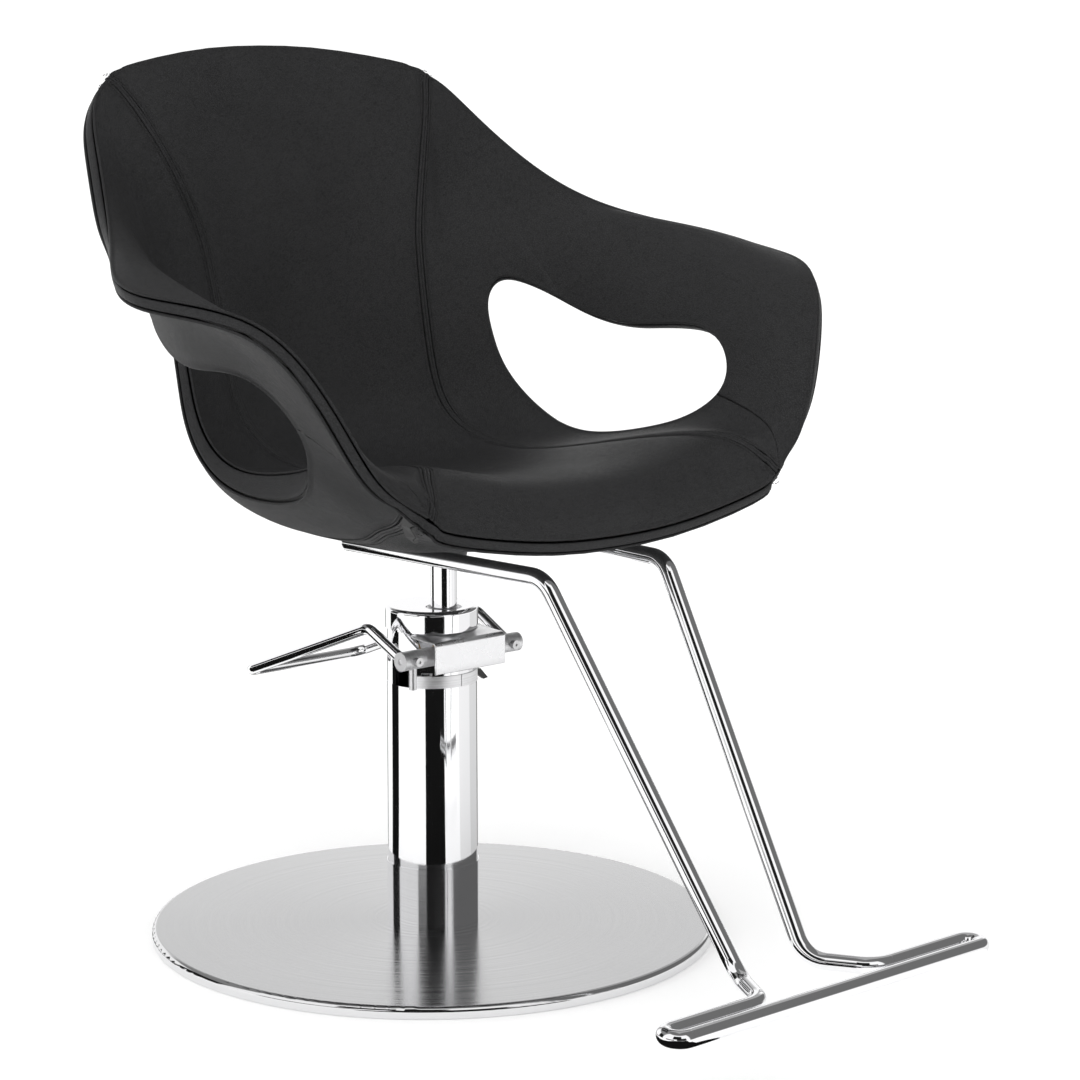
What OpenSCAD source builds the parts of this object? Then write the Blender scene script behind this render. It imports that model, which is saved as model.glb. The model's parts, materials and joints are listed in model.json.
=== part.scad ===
// Salon styling chair: bucket seat with arm openings on a hydraulic column, with a round base
// and a bent-tube footrest.
// Millimetres. Origin on the floor at the base disc's axis, +Z up, the sitter faces -Y.

/* [Base] */
// radius of the floor disc
base_r = 300; // [280:5:320]
// height of the disc's top face
base_h = 12.5; // [12:0.5:14]
// height of the collar round the foot of the column
sleeve_h = 66; // [50:1:90]

/* [Column] */
// outer radius of the column tube
tube_r = 48; // [48:0.1:48.4]
// top of the column tube
tube_top = 274; // [272:0.5:275]
// top face of the cap
cap_top = 355; // [354:0.5:358]
// radius of the lifting rod
ram_r = 14; // [13:0.5:14]
// forward offset of the lifting rod from the column's axis
ram_y = -20; // [-21:0.5:-19]

/* [Pedal] */
// radius of the pedal rod
pedal_r = 6; // [5:0.25:6.25]
// half length of the cross shaft
shaft_half = 80; // [79:0.5:84]
// radius of the cross shaft
shaft_r = 10; // [9.5:0.1:10]
// half width of the foot bar
pedal_half = 80; // [76:1:84]

/* [Footrest] */
// radius of the footrest tube
foot_r = 8.5; // [7.5:0.25:9]
// half width of the floor bar between its end turns
foot_half = 196; // [180:1:210]
// height of the floor bar's axis
foot_z = 76; // [70:1:80]
// distance between the axes of the floor bar's two runs
foot_gap = 25; // [22:0.5:28]

/* [Seat] */
// thickness of the outer cover
skin_t = 4; // [3:0.5:4]
// thickness of the moulded shell under the padding
pan_t = 5; // [4:0.5:5]
// width of the raised band round the rim
band_w = 12; // [9:0.5:13]

/* [Output] */

/* [Hidden] */
$fn = 96;
eps = 0.01;
CHROME = [0.82, 0.83, 0.85];
STEEL = [0.62, 0.63, 0.65];
DARK = [0.2, 0.2, 0.21];
LEATHER = [0.06, 0.06, 0.065];

// ---------- base ----------
cover_t = 2.5;
edge_r = 5;
foot_h = 2.5;
skirt_z = 0.5;
plate_top = base_h - cover_t - 0.1;
bolt_ring = 26;
bolt_r = 5;
bolt_head_r = 8;
bolt_head_h = 4.5;
plug_h = 14;
tube_wall = 3;
fit = 0.3;

module base_cover() color(STEEL)
    rotate_extrude() difference() {
        union() {
            translate([tube_r + fit, base_h - cover_t])
                square([base_r - edge_r - tube_r - fit, cover_t]);
            translate([base_r - edge_r, base_h - edge_r])
                intersection() {
                    circle(r = edge_r, $fn = 48);
                    square(edge_r);
                }
            translate([base_r - cover_t, skirt_z])
                square([cover_t, base_h - edge_r - skirt_z]);
        }
        translate([base_r - edge_r, base_h - edge_r])
            circle(r = edge_r - cover_t, $fn = 48);
    }

module ballast() color(DARK)
    difference() {
        translate([0, 0, foot_h])
            cylinder(r = base_r - edge_r - 2, h = plate_top - foot_h, $fn = 180);
        for (i = [0:2])
            rotate(120 * i + 30) translate([bolt_ring, 0, 0]) {
                cylinder(r = bolt_r + 0.2, h = base_h);
                cylinder(r = bolt_head_r + 1, h = foot_h + bolt_head_h);
            }
    }

module foot_pad() color(DARK)
    cylinder(r = base_r - 14, h = foot_h, $fn = 180);

module sleeve() color(CHROME)
    translate([0, 0, base_h]) difference() {
        cylinder(r = tube_r + 1.2, h = sleeve_h);
        translate([0, 0, -eps]) cylinder(r = tube_r + fit, h = sleeve_h + 2 * eps);
    }

module base_plug() color(DARK)
    translate([0, 0, plate_top]) difference() {
        cylinder(r = tube_r - tube_wall, h = plug_h);
        for (i = [0:2])
            rotate(120 * i + 30) translate([bolt_ring, 0, -eps])
                cylinder(r = bolt_r, h = plug_h - 2);
    }

module base_bolt(i) color(STEEL)
    rotate(120 * i + 30) translate([bolt_ring, 0, foot_h]) difference() {
        union() {
            cylinder(r = bolt_head_r, h = bolt_head_h);
            cylinder(r = bolt_r, h = plate_top + plug_h - 2 - foot_h - 1);
        }
        translate([0, 0, -eps]) cylinder(r = 4, h = 2.5, $fn = 6);
    }

// ---------- column ----------
barrel_r = 21;
bore_r = 16.05;
barrel_top = 296;
shaft_y = -45.5;
shaft_z = 311;
cap_h = 23;
cap_r = 49.1;
cap_round = 4.5;
head_bot = tube_top + 13;
neck_z = cap_top - cap_h;
gland_r = 19;
gland_bot = cap_top - 19;
bush_r = shaft_r + 2;
screw_turn = 178;
screw_z = 316;

module tube() color(CHROME)
    difference() {
        translate([0, 0, plate_top]) cylinder(r = tube_r, h = tube_top - plate_top);
        translate([0, 0, plate_top - eps])
            cylinder(r = tube_r - tube_wall, h = tube_top - plate_top + 1);
    }

module barrel() color(STEEL)
    translate([0, ram_y, plate_top + plug_h]) difference() {
        cylinder(r = barrel_r, h = barrel_top - plate_top - plug_h);
        translate([0, 0, 8]) cylinder(r = bore_r, h = barrel_top);
    }

// body of the pump head, cut away where the cross shaft, its cam and the plunger work
shell_r = tube_r - 0.6;
boss_l = -30;
boss_r = 20;
module head_casting() color(CHROME)
    difference() {
        union() {
            translate([0, 0, head_bot]) cylinder(r = shell_r, h = neck_z - head_bot);
            translate([0, 0, tube_top]) intersection() {
                difference() {
                    cylinder(r = shell_r, h = head_bot - tube_top);
                    translate([0, 0, -1]) cylinder(r = tube_r - tube_wall - 1, h = 20);
                }
                translate([-60, 2, 0]) cube([120, 60, 13]);
            }
            translate([boss_l, shaft_y - 14, shaft_z - 15]) cube([boss_r - boss_l, 29, 28]);
        }
        // bore for the lifting rod, wider below for the barrel
        translate([0, ram_y, head_bot - 1]) cylinder(r = ram_r + 0.6, h = 60);
        translate([0, ram_y, head_bot - 1]) cylinder(r = barrel_r, h = barrel_top - head_bot + 1);
        // cross bore for the bushes
        translate([-60, shaft_y, shaft_z]) rotate([0, 90, 0]) cylinder(r = bush_r, h = 120);
        // room for cam and plunger on one side, for the shaft's end on the other
        translate([boss_r, -70, head_bot - 1]) cube([60, 72, 40]);
        translate([boss_l - 60, -70, head_bot - 1]) cube([60, 44, 40]);
        translate([-90, -26, head_bot - 1]) cube([54, 27, 14]);
        rotate(screw_turn) translate([shell_r - 3, 0, screw_z]) rotate([0, 90, 0]) cylinder(r = 3, h = 6);
    }

module cap() color(CHROME)
    difference() {
        translate([0, 0, neck_z]) rotate_extrude() union() {
            square([cap_r - cap_round, cap_h]);
            square([cap_r, cap_h - cap_round]);
            translate([cap_r - cap_round, cap_h - cap_round])
                circle(r = cap_round, $fn = 48);
        }
        translate([0, ram_y, neck_z - 1]) cylinder(r = ram_r + 0.6, h = cap_h + 2);
        translate([0, ram_y, gland_bot]) cylinder(r = gland_r, h = cap_h);
    }

module gland() color(STEEL)
    translate([0, ram_y, 0]) rotate_extrude() polygon([
        [ram_r + 0.05, gland_bot], [gland_r, gland_bot], [gland_r, cap_top - 1.5],
        [gland_r - 1.5, cap_top], [ram_r + 2.5, cap_top], [ram_r + 0.05, cap_top - 2.5]]);

// smooth hood over the shaft: a bent sheet with open ends
hood_half = 47;
hood_front = -65;
hood_bot = 296;
hood_t = 2;
hood_top = neck_z - 2.5;
hood_round = 15;
module hood_profile(d) {
    // d insets the outline for the hollow
    x0 = hood_front + d;
    y1 = hood_top - d;
    r = hood_round - d;
    translate([x0 + r, hood_bot - d]) square([-28 - x0 - r, y1 - hood_bot + d]);
    translate([x0, hood_bot - d]) square([r + 1, y1 - r - hood_bot + d]);
    translate([x0 + r, y1 - r]) circle(r = r, $fn = 64);
}
module head_cover() color(CHROME)
    difference() {
        rotate([90, 0, 90]) translate([0, 0, -hood_half]) linear_extrude(2 * hood_half)
            difference() {
                hood_profile(0);
                hood_profile(hood_t);
            }
        translate([0, 0, hood_bot - 1]) cylinder(r = shell_r, h = 60);
        translate([-60, -27.5, hood_bot - 1]) cube([120, 60, 60]);
    }

// split ring closing the front of the head
module head_band() color(STEEL)
    translate([0, 0, tube_top]) difference() {
        cylinder(r = tube_r + 0.4, h = head_bot - tube_top - 0.3);
        translate([0, 0, -eps]) cylinder(r = tube_r - 4, h = 14);
        translate([-60, 0, -eps]) cube([120, 60, 14]);
        translate([-60, -24, -eps]) cube([22, 30, 14]);
        translate([-0.4, -60, -eps]) cube([0.8, 40, 14]);
    }

module stop_hook() color(DARK)
    difference() {
        translate([0, -8, 0]) rotate([90, 0, 0]) linear_extrude(4)
            polygon([[44, 279], [58, 279], [68, 268], [62, 267], [54, 273], [44, 276]]);
        translate([0, 0, 260]) cylinder(r = tube_r + 0.4, h = 40);
    }

module set_screw() color(STEEL)
    rotate(screw_turn) translate([shell_r - 3, 0, screw_z]) rotate([0, 90, 0]) difference() {
        cylinder(r = 3, h = 2.5);
        translate([0, 0, 1]) cylinder(r = 1.5, h = 2, $fn = 6);
    }

// pump: block, plunger and its spring
pump_x = 29;
pump_y = -12;
plunger_r = 4;
block_bot = 215;
block_top = 258;
collar_z = 286;
nose_r = 6;
module valve_block() color(STEEL)
    difference() {
        translate([pump_x, pump_y, block_bot]) cylinder(r = 9.5, h = block_top - block_bot);
        translate([0, ram_y, block_bot - 1]) cylinder(r = barrel_r, h = 90);
        translate([pump_x, pump_y, block_bot + 10]) cylinder(r = plunger_r + 0.05, h = 60);
    }

module plunger() color(STEEL)
    translate([pump_x, pump_y, 0]) {
        translate([0, 0, block_bot + 27]) cylinder(r = plunger_r, h = collar_z - block_bot - 27);
        translate([0, 0, collar_z]) cylinder(r = 7.5, h = 3);
        translate([0, 0, collar_z + 3]) cylinder(r = plunger_r, h = shaft_z - nose_r - 0.3 - collar_z - 3);
    }

spring_turns = 6;
wire_r = 0.9;
coil_r = 6;
module spring() color(STEEL)
    translate([pump_x, pump_y, block_top + wire_r + 0.1])
        polyhedron(points = coil_points, faces = coil_faces, convexity = 8);
coil_n = 24 * spring_turns;
coil_m = 6;
coil_h = collar_z - block_top - 2 * wire_r - 0.2;
coil_points = [for (i = [0:coil_n]) for (j = [0:coil_m - 1])
    let (t = 360 * i / 24, q = 360 * j / coil_m, rr = coil_r + wire_r * cos(q))
    [rr * cos(t), rr * sin(t), coil_h * i / coil_n + wire_r * sin(q)]];
coil_faces = concat(
    [[for (j = [0:coil_m - 1]) j]],
    [for (i = [0:coil_n - 1]) for (j = [0:coil_m - 1]) for (s = [0, 1])
        let (a = i * coil_m + j, b = i * coil_m + (j + 1) % coil_m)
        s == 0 ? [a, a + coil_m, b] : [b, a + coil_m, b + coil_m]],
    [[for (j = [coil_m - 1:-1:0]) coil_n * coil_m + j]]);

// ---------- pedal ----------
leg_x = 72;
knee = [74, 14, 337];
toe = [pedal_half, 223, 258];
shaft_end = [leg_x, shaft_y, shaft_z - 3];
grip_x = 66;
module mirror_pair() {
    children();
    mirror([1, 0, 0]) children();
}
module bore_rod() {
    // the end of each pedal leg, as it enters the shaft
    rod([shaft_end, knee], pedal_r);
}
module shaft() color(STEEL)
    difference() {
        translate([-shaft_half, shaft_y, shaft_z]) rotate([0, 90, 0])
            cylinder(r = shaft_r, h = 2 * shaft_half);
        mirror_pair() bore_rod();
        mirror_pair() translate([grip_x, shaft_y - 20, shaft_z]) rotate([-90, 0, 0])
            cylinder(r = 3.2, h = 14.5);
        mirror_pair() translate([shaft_half - 1.2, shaft_y, shaft_z]) rotate([0, 90, 0])
            cylinder(r1 = 2.5, r2 = 4, h = 2);
    }

module bush(x) color(STEEL)
    translate([x, shaft_y, shaft_z]) rotate([0, 90, 0]) difference() {
        cylinder(r = bush_r, h = 10);
        translate([0, 0, -1]) cylinder(r = shaft_r + 0.05, h = 12);
    }

cam_w = 8;
cam_reach = pump_y - shaft_y;
module cam_arm() color(DARK)
    translate([pump_x - cam_w / 2, shaft_y, shaft_z]) rotate([0, 90, 0]) difference() {
        union() {
            cylinder(r = shaft_r + 3.5, h = cam_w);
            translate([0, cam_reach, 0]) cylinder(r = nose_r, h = cam_w);
            translate([-nose_r, 4, 0]) cube([2 * nose_r, cam_reach - 4, cam_w]);
        }
        translate([0, 0, -1]) cylinder(r = shaft_r, h = cam_w + 2);
    }

module clamp(side) color(STEEL)
    translate([side * grip_x, shaft_y, shaft_z]) rotate([90, 0, 0]) difference() {
        union() {
            translate([0, 0, 6]) cylinder(r = 3.2, h = 8);
            translate([0, 0, shaft_r]) cylinder(r = 4.8, h = 5);
        }
        translate([0, 0, shaft_r + 3.8]) cylinder(r = 1.7, h = 6, $fn = 6);
    }

module pedal_stop() color(CHROME)
    difference() {
        translate([-grip_x + 1, shaft_y - 2, shaft_z - 31]) cylinder(r = 4, h = 26);
        translate([-shaft_half, shaft_y, shaft_z]) rotate([0, 90, 0]) cylinder(r = shaft_r, h = 40);
    }

module pedal() color(CHROME)
    rod([mirror_x(shaft_end), mirror_x(knee), mirror_x(toe), toe, knee, shaft_end],
        pedal_r, [16, 18, 18, 16]);

// ---------- bent rods ----------
function mirror_x(p) = [-p[0], p[1], p[2]];
function unit(v) = v / norm(v);
function turn_angle(u, v) = acos(max(-1, min(1, u * v)));
module along(p, u) {
    // local +Z runs along u from p
    translate(p) rotate([0, acos(u[2]), atan2(u[1], u[0])]) children();
}
// Round bar through the points, with a bend radius at each inner one. The straights run a little
// way into the bends, which are a hair thinner, so that each joint closes cleanly.
lap = 0.2;
bend_thin = 0.03;
module rod(pts, r, bends = []) {
    n = len(pts);
    dirs = [for (i = [0:n - 2]) unit(pts[i + 1] - pts[i])];
    cuts = [for (i = [0:n - 1]) (i == 0 || i == n - 1) ? 0
        : bends[i - 1] * tan(turn_angle(dirs[i - 1], dirs[i]) / 2) - lap];
    for (i = [0:n - 2])
        along(pts[i] + cuts[i] * dirs[i], dirs[i])
            cylinder(r = r, h = norm(pts[i + 1] - pts[i]) - cuts[i] - cuts[i + 1], $fn = 48);
    if (n > 2) for (i = [1:n - 2]) {
        u = dirs[i - 1];
        side = unit(cross(cross(u, dirs[i]), u));
        nrm = cross(-side, u);
        mid = pts[i] - (cuts[i] + lap) * u + bends[i - 1] * side;
        multmatrix([
            [-side[0], u[0], nrm[0], mid[0]],
            [-side[1], u[1], nrm[1], mid[1]],
            [-side[2], u[2], nrm[2], mid[2]],
            [0, 0, 0, 1]])
            rotate_extrude(angle = turn_angle(u, dirs[i])) translate([bends[i - 1], 0])
                circle(r = r - bend_thin, $fn = 48);
    }
}

// ---------- lifting rod ----------
ram_bot = 60;
ram_top = 428;
module ram() color(CHROME)
    translate([0, ram_y, ram_bot + 8]) cylinder(r = ram_r, h = ram_top - ram_bot - 8);

module piston() color(STEEL)
    translate([0, ram_y, ram_bot - 8]) difference() {
        cylinder(r = bore_r - 0.05, h = 16);
        translate([0, 0, 6]) difference() {
            cylinder(r = 20, h = 4);
            translate([0, 0, -1]) cylinder(r = 14, h = 6);
        }
    }

module piston_seal() color(DARK)
    translate([0, ram_y, ram_bot - 2]) difference() {
        cylinder(r = bore_r - 0.03, h = 4);
        translate([0, 0, -1]) cylinder(r = 14, h = 6);
    }

// ---------- under the seat ----------
run_z = 430;
plate_z = 432;
plate_t = 6;
rear_end = [98, 15, run_z];
front_corner = [81, -268, run_z];
bolt_xs = 60;
bolt_y1 = -85;
bolt_y2 = 25;
module socket() color(DARK)
    translate([0, ram_y, 0]) difference() {
        translate([0, 0, 405]) cylinder(r1 = 23, r2 = 30, h = plate_z - 405);
        translate([0, 0, 400]) cylinder(r = ram_r + 0.05, h = ram_top + 0.5 - 400);
    }

module seat_plate() color(DARK)
    difference() {
        translate([0, 0, plate_z]) linear_extrude(plate_t) polygon([
            [-84, -105], [84, -105], [84, -60], [93, -60], [96, -10], [88, -10], [88, 45],
            [-88, 45], [-88, -10], [-96, -10], [-93, -60], [-84, -60]]);
        for (sx = [-1, 1]) for (y = [bolt_y1, bolt_y2])
            translate([sx * bolt_xs, y, plate_z - 1]) cylinder(r = 4.2, h = plate_t + 2);
        mirror_pair() rod([rear_end, front_corner], foot_r);
    }

module seat_bolt(sx, y) color(STEEL)
    translate([sx * bolt_xs, y, plate_z - 5.3]) {
        cylinder(r = 7.5, h = 5.3, $fn = 6);
        translate([0, 0, 5]) cylinder(r = 4, h = 6.2);
    }

// ---------- footrest ----------
foot_y = -588;
leg_low = [44.5, -502, foot_z];
bar_in = [78, foot_y + foot_gap, foot_z];
bar_out = [foot_half, foot_y + foot_gap, foot_z];
leg_split = leg_low + 0.5 * (bar_in - leg_low);
module foot_side() {
    rod([rear_end, front_corner, leg_low, leg_split], foot_r, [32, 34]);
    translate(rear_end) sphere(r = foot_r - bend_thin, $fn = 48);
}
module foot_left() color(CHROME) mirror([1, 0, 0]) foot_side();
module foot_right() color(CHROME) foot_side();
module foot_bar() color(CHROME) {
    over = [lap, 0, 0];
    rod([mirror_x(leg_split), mirror_x(bar_in), mirror_x(bar_out + over)], foot_r, [30]);
    rod([leg_split, bar_in, bar_out + over], foot_r, [30]);
    translate([-foot_half - lap, foot_y, foot_z]) rotate([0, 90, 0])
        cylinder(r = foot_r, h = 2 * (foot_half + lap), $fn = 48);
    mirror_pair() translate([foot_half, foot_y + foot_gap / 2, foot_z]) rotate(-90)
        rotate_extrude(angle = 180) translate([foot_gap / 2, 0])
            circle(r = foot_r - bend_thin, $fn = 48);
}

// ---------- seat skin ----------
// Control net of the sitter's side, right half. Each row crosses the seat: centre, inner seam,
// low wall, mid wall, high wall, rim. Rows run from the front edge over the seat and up the back.
NET = [
    [[0, -285, 467], [200, -281, 490], [220, -280, 499], [230, -280, 505], [237, -279, 510], [242, -278, 513]],
    [[0, -275, 491], [204, -265, 519], [224, -267, 526], [236, -269, 527], [246, -272, 525], [256, -273, 523]],
    [[0, -250, 512], [200, -239, 538], [224, -241, 540], [246, -247, 543], [265, -255, 548], [284, -265, 551]],
    [[0, -205, 518], [180, -200, 542], [222, -194, 541], [260, -203, 556], [291, -222, 586], [317, -245, 615]],
    [[0, -125, 510], [158, -118, 529], [226, -114, 534], [270, -134, 580], [316, -164, 652], [368, -197, 692]],
    [[0, -10, 497], [136, -10, 511], [234, -18, 523], [284, -48, 614], [350, -76, 708], [419, -92, 713]],
    [[0, 95, 502], [132, 80, 517], [228, 58, 530], [276, 28, 630], [336, 8, 728], [394, -7, 732]],
    [[0, 165, 540], [134, 140, 550], [212, 120, 576], [256, 96, 658], [300, 82, 740], [342, 73, 753]],
    [[0, 198, 620], [139, 170, 622], [190, 160, 656], [230, 149, 704], [267, 142, 753], [302, 138, 783]],
    [[0, 222, 740], [147, 195, 742], [180, 200, 760], [212, 201, 780], [242, 198, 802], [272, 194, 826]],
    [[0, 245, 836], [168, 220, 826], [190, 224, 834], [211, 227, 843], [232, 230, 853], [252, 232, 863]],
    [[0, 269, 899], [170, 247, 883], [190, 243, 879], [205, 247, 884], [220, 250, 888], [233, 252, 889]],
    [[0, 287, 934], [175, 270, 917], [193, 267, 912], [204, 265, 909], [210, 263, 906], [215, 261, 902]]];
// full thickness at the centre line, the seam and the low wall of each row, and elsewhere
THICK_C = [18, 42, 62, 72, 66, 55, 57, 44, 32, 26, 22, 19, 18];
THICK_S = [18, 48, 70, 80, 80, 69, 66, 44, 30, 24, 20, 18, 18];
THICK_A = [18, 34, 48, 50, 40, 28, 21, 18, 18, 18, 18, 18, 18];
thick = 18;
// how far the seam's curve reaches halfway to the centre line
mid_pull = 0.22;
// how much the padding's thickness turns upright along the front edge, and behind it under the seat
front_lift = 1.2;
under_lift = 2;

rows = len(NET) - 1;
cols = 6;
function with_t(p, t) = [p[0], p[1], p[2], t];
function full_row(i) = let (
        c = with_t(NET[i][0], THICK_C[i]),
        s = with_t(NET[i][1], THICK_S[i]),
        m = c + mid_pull * (s - c))
    [c, [s[0] / 2, m[1], m[2], m[3]], s, with_t(NET[i][2], THICK_A[i]),
        for (j = [3:5]) with_t(NET[i][j], thick)];
// end control points: a straight run on, or the mirror image across the centre line
function flip(p) = [-p[0], p[1], p[2], p[3]];
function run_on(P) = let (n = len(P) - 1) concat([2 * P[0] - P[1]], P, [2 * P[n] - P[n - 1]]);
function fold_on(P) = let (n = len(P) - 1) concat([flip(P[1])], P, [2 * P[n] - P[n - 1]]);
// control points whose smooth surface passes through the net
function fit_rows(D, P, n) = n == 0 ? run_on(D) : let (E = run_on(D))
    fit_rows([for (i = [0:len(P) - 1]) D[i] + P[i] - (E[i] + 4 * D[i] + E[i + 2]) / 6], P, n - 1);
function fit_cols(D, P, n) = n == 0 ? fold_on(D) : let (E = fold_on(D))
    fit_cols([for (i = [0:len(P) - 1]) D[i] + P[i] - (E[i] + 4 * D[i] + E[i + 2]) / 6], P, n - 1);
NET_ROWS = [for (i = [0:rows]) full_row(i)];
NET_FIT = let (G = fit_rows(NET_ROWS, NET_ROWS, 3)) [for (g = G) fit_cols(g, g, 3)];
function weights(f) = [pow(1 - f, 3), 3 * pow(f, 3) - 6 * f * f + 4,
    -3 * pow(f, 3) + 3 * f * f + 3 * f + 1, pow(f, 3)] / 6;
// k runs front to back top, 0 to rows; a runs across, 0 at the centre, 2 at the seam, 5 at the rim
function skin(k, a) = let (
        b = abs(a),
        i = max(0, min(floor(k), rows - 1)),
        j = min(floor(b), cols - 1),
        u = weights(k - i),
        v = weights(b - j),
        q = u * [for (r = [0:3]) v * [for (c = [0:3]) NET_FIT[i + r][j + c]]])
    a < 0 ? flip(q) : q;
function xyz(p) = [p[0], p[1], p[2]];
function inward(k, a) = let (
        kc = max(0.35, min(k, rows - 0.35)),
        ac = max(-5.8, min(a, 5.8)),
        e = 0.01,
        du = xyz(skin(kc + e, ac)) - xyz(skin(kc - e, ac)),
        dv = xyz(skin(kc, ac + e)) - xyz(skin(kc, ac - e)))
    unit(unit(cross(dv, du)) + [0, 0, front_lift * max(0, 1 - kc)
        + under_lift * max(0, 1 - kc / 3.2) * max(0, 1 - pow(ac / 4, 2))]);
// point at a depth d = c0 + c1 * thickness behind the sitter's face
function layer(ka, d) = let (q = skin(ka[0], ka[1]))
    xyz(q) - (d[0] + d[1] * q[3]) * inward(ka[0], ka[1]);

// Outline of the arm opening as [k, a] stations.
OPENING = [[7.76, 3.28], [7.84, 3.58], [7.65, 3.88], [7.10, 4.02], [6.30, 4.02], [5.50, 4.07],
    [4.85, 4.26], [4.38, 4.42], [3.96, 4.36], [3.77, 4.06], [3.83, 3.62], [4.10, 3.19],
    [4.65, 2.97], [5.40, 2.97], [6.20, 3.01], [7.00, 3.02], [7.47, 3.12]];
hub = [5.8, 3.65];
ring_n = len(OPENING);
function fit_ring(D, n) = n == 0 ? D : fit_ring([for (i = [0:ring_n - 1])
    D[i] + OPENING[i] - (D[(i + ring_n - 1) % ring_n] + 4 * D[i] + D[(i + 1) % ring_n]) / 6], n - 1);
RING_FIT = fit_ring(OPENING, 3);
EDGE = [for (i = [0:ring_n - 1]) for (f = [0:0.25:0.75])
    weights(f) * [for (r = [-1:2]) RING_FIT[(i + r + ring_n) % ring_n]]];
// how far along the line from the hub to q the opening's edge lies, as a fraction
function edge_hits(q) = let (d = q - hub) [for (i = [0:len(EDGE) - 1])
    let (p = EDGE[i] - hub, r = EDGE[(i + 1) % len(EDGE)] - hub)
    if (cross(d, p) * cross(d, r) <= 0 && d * (p + r) > 0) cross(p, r - p) / cross(d, r - p)];
function ray_speed(q, f) = let (d = q - hub, e = 0.01, g = hub + (f + e) * d, h = hub + (f - e) * d)
    norm(xyz(skin(g[0], g[1])) - xyz(skin(h[0], h[1]))) / (2 * e);
// station a distance off the opening's edge, on the line from the hub to q
function beside_edge(q, off) = let (f = edge_hits(q)[0])
    hub + (f + off / ray_speed(q, f)) * (q - hub);

// ---------- seat panels ----------
seam_gap = 0.5;
layer_gap = 0.8;
trim_w = 4;
panel_steps = 24;
ks = [for (i = [0:panel_steps]) rows * i / panel_steps];
// station of the seam between the centre panel and a side panel: it runs outwards near both ends
function seam_a(k) = 2 + 2.5 * pow(max(0, 1 - k / 1.7), 1.6) + 2.1 * pow(max(0, k / 2 - 5), 1.2);
function past_seam(k, d) = let (a = seam_a(k), e = 0.01)
    a + d * 2 * e / norm(xyz(skin(k, a + e)) - xyz(skin(k, a - e)));
end_steps = 4;
function to_rim(k, j) = let (a = past_seam(k, seam_gap)) [k, a + (cols - a) * j / end_steps];
// stations of the centre panel: front to back, left to right
CENTER_GRID = [for (k = ks) [for (j = [-4:4]) [k, past_seam(k, -seam_gap) * j / 4]]];
// outer boundary of a side panel, once round
WING_LOOP = concat(
    [for (j = [0:end_steps - 1]) to_rim(0, j)],
    [for (k = ks) [k, cols]],
    [for (j = [end_steps - 1:-1:1]) to_rim(rows, j)],
    [for (i = [panel_steps:-1:1]) [ks[i], past_seam(ks[i], seam_gap)]]);
wing_rings = 6;
WING_GRID = [for (r = [0:wing_rings]) [for (q = WING_LOOP)
    q + (beside_edge(q, trim_w) - q) * r / wing_rings]];
// stations across a whole end row, left to right, without its two corners
function across(k) = let (w = seam_a(k)) concat(
    [for (j = [end_steps - 1:-1:1]) [k, -to_rim(k, j)[1]]],
    [for (j = [-4:4]) [k, w * j / 4]],
    [for (j = [1:end_steps - 1]) to_rim(k, j)]);

// solid between two depths under a grid of stations; wrap joins its first and last columns
module slab(grid, near, far, wrap = false) {
    m = len(grid);
    n = len(grid[0]);
    last = wrap ? n - 1 : n - 2;
    half = m * n;
    pts = [for (d = [near, far]) for (line = grid) for (q = line) layer(q, d)];
    sheet = [for (i = [0:m - 2]) for (j = [0:last]) let (
        p = i * n + j,
        q = i * n + (j + 1) % n,
        r = q + n,
        t = p + n)
        each [[p, t, r], [p, r, q], [half + p, half + r, half + t], [half + p, half + q, half + r]]];
    ends = [for (j = [0:last]) let (p = j, q = (j + 1) % n, r = half - n + j, t = half - n + (j + 1) % n)
        each [[p, q, half + q], [p, half + q, half + p], [t, r, half + r], [t, half + r, half + t]]];
    sides = wrap ? [] : [for (i = [0:m - 2]) let (p = i * n, q = p + n, r = p + n - 1, t = r + n)
        each [[q, p, half + p], [q, half + p, half + q], [r, t, half + r], [t, half + t, half + r]]];
    polyhedron(points = pts, faces = concat(sheet, ends, sides), convexity = 10);
}

// tube of quads through matching closed loops of corner points
module loop_solid(loops) {
    m = len(loops);
    n = len(loops[0]);
    polyhedron(points = [for (l = loops) each l], convexity = 10,
        faces = [for (i = [0:m - 1]) for (j = [0:n - 1]) let (
            p = i * n + j,
            q = i * n + (j + 1) % n,
            r = ((i + 1) % m) * n + (j + 1) % n,
            t = ((i + 1) % m) * n + j)
            each [[p, q, r], [p, r, t]]]);
}

pad_far = [-skin_t - pan_t - 2 * layer_gap, 1];
pan_near = [-skin_t - pan_t - layer_gap, 1];
pan_far = [-skin_t - layer_gap, 1];
back_near = [-skin_t, 1];
module pad_center() color(LEATHER) slab(CENTER_GRID, [0, 0], pad_far);
module pad_right() color(LEATHER) slab(WING_GRID, [0, 0], pad_far, true);
module pad_left() mirror([1, 0, 0]) pad_right();
module pan_center() color(DARK) slab(CENTER_GRID, pan_near, pan_far);
module pan_right() color(DARK) slab(WING_GRID, pan_near, pan_far, true);
module pan_left() mirror([1, 0, 0]) pan_right();
module back_center() color(LEATHER) slab(CENTER_GRID, back_near, [0, 1]);
module back_right() color(LEATHER) slab(WING_GRID, back_near, [0, 1], true);
module back_left() mirror([1, 0, 0]) back_right();

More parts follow.
